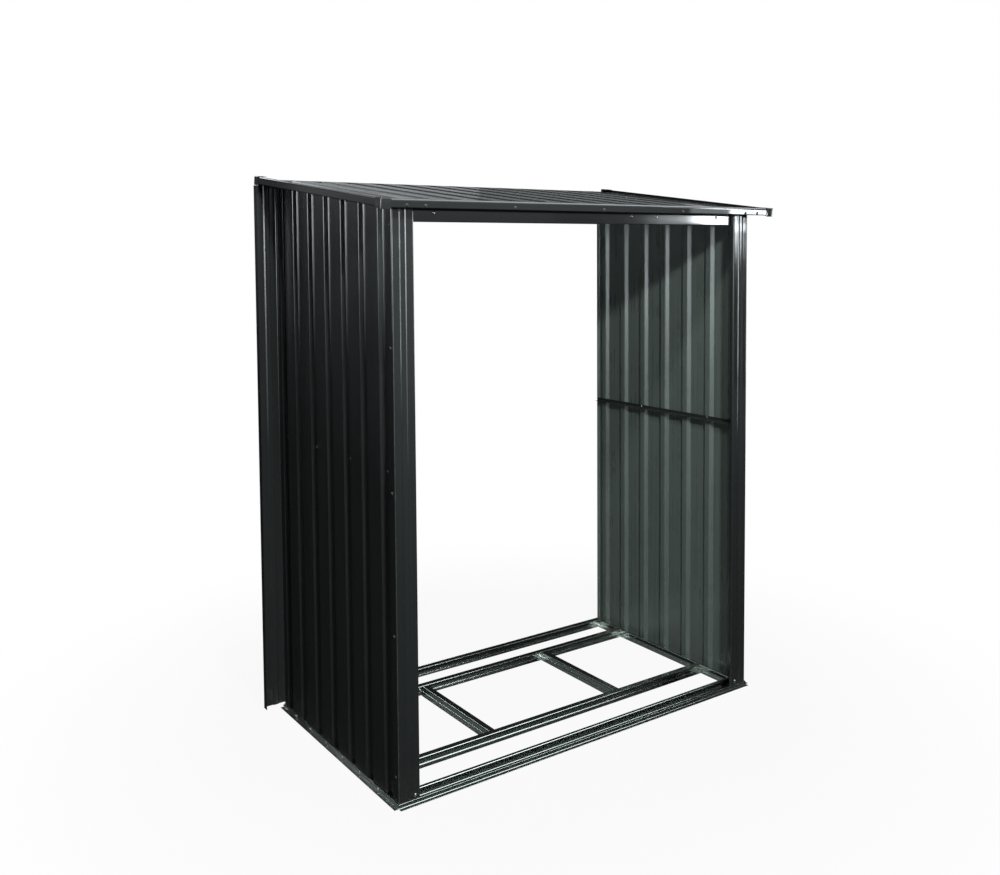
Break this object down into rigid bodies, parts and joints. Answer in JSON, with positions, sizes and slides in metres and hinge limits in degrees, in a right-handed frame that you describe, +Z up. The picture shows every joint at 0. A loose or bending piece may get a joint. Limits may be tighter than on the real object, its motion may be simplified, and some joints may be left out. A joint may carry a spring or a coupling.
{
  "type": "log store",
  "caption": "Open-fronted steel log store: corrugated side walls and a pent roof on a folded floor frame, with posts, headers and rails, open at the front and back.",
  "frame": {"origin": "on the ground under the middle of the overall box", "axes": "+X to the right seen from the front, +Y to the back where the roof is higher, +Z up"},
  "size_m": [1.6886, 0.9268, 1.9363],
  "materials": {
    "anthracite_coat": "semi-gloss coil-coated steel",
    "galvanised_steel": "galvanised, bright on the bends"
  },
  "bodies": {
    "root": {"front_sill": "galvanised_steel", "back_sill": "galvanised_steel", "left_sill": "galvanised_steel", "right_sill": "galvanised_steel", "front_floor_beam": "galvanised_steel", "back_floor_beam": "galvanised_steel", "left_cross_beam": "galvanised_steel", "right_cross_beam": "galvanised_steel", "front_left_post": "anthracite_coat", "front_right_post": "anthracite_coat", "back_left_post": "anthracite_coat", "back_right_post": "anthracite_coat", "left_wall_front_sheet": "anthracite_coat", "left_wall_back_sheet": "anthracite_coat", "right_wall_front_sheet": "anthracite_coat", "right_wall_back_sheet": "anthracite_coat", "left_mid_rail": "anthracite_coat", "right_mid_rail": "anthracite_coat", "left_top_rail": "anthracite_coat", "right_top_rail": "anthracite_coat", "front_header": "anthracite_coat", "back_header": "anthracite_coat", "roof_left_sheet": "anthracite_coat", "roof_middle_sheet": "anthracite_coat", "roof_right_sheet": "anthracite_coat", "front_fascia": "anthracite_coat", "back_fascia": "anthracite_coat", "left_verge_trim": "anthracite_coat", "right_verge_trim": "anthracite_coat", "front_left_corner_cap": "anthracite_coat", "front_right_corner_cap": "anthracite_coat", "back_left_corner_cap": "anthracite_coat", "back_right_corner_cap": "anthracite_coat"}
  },
  "joints": []
}
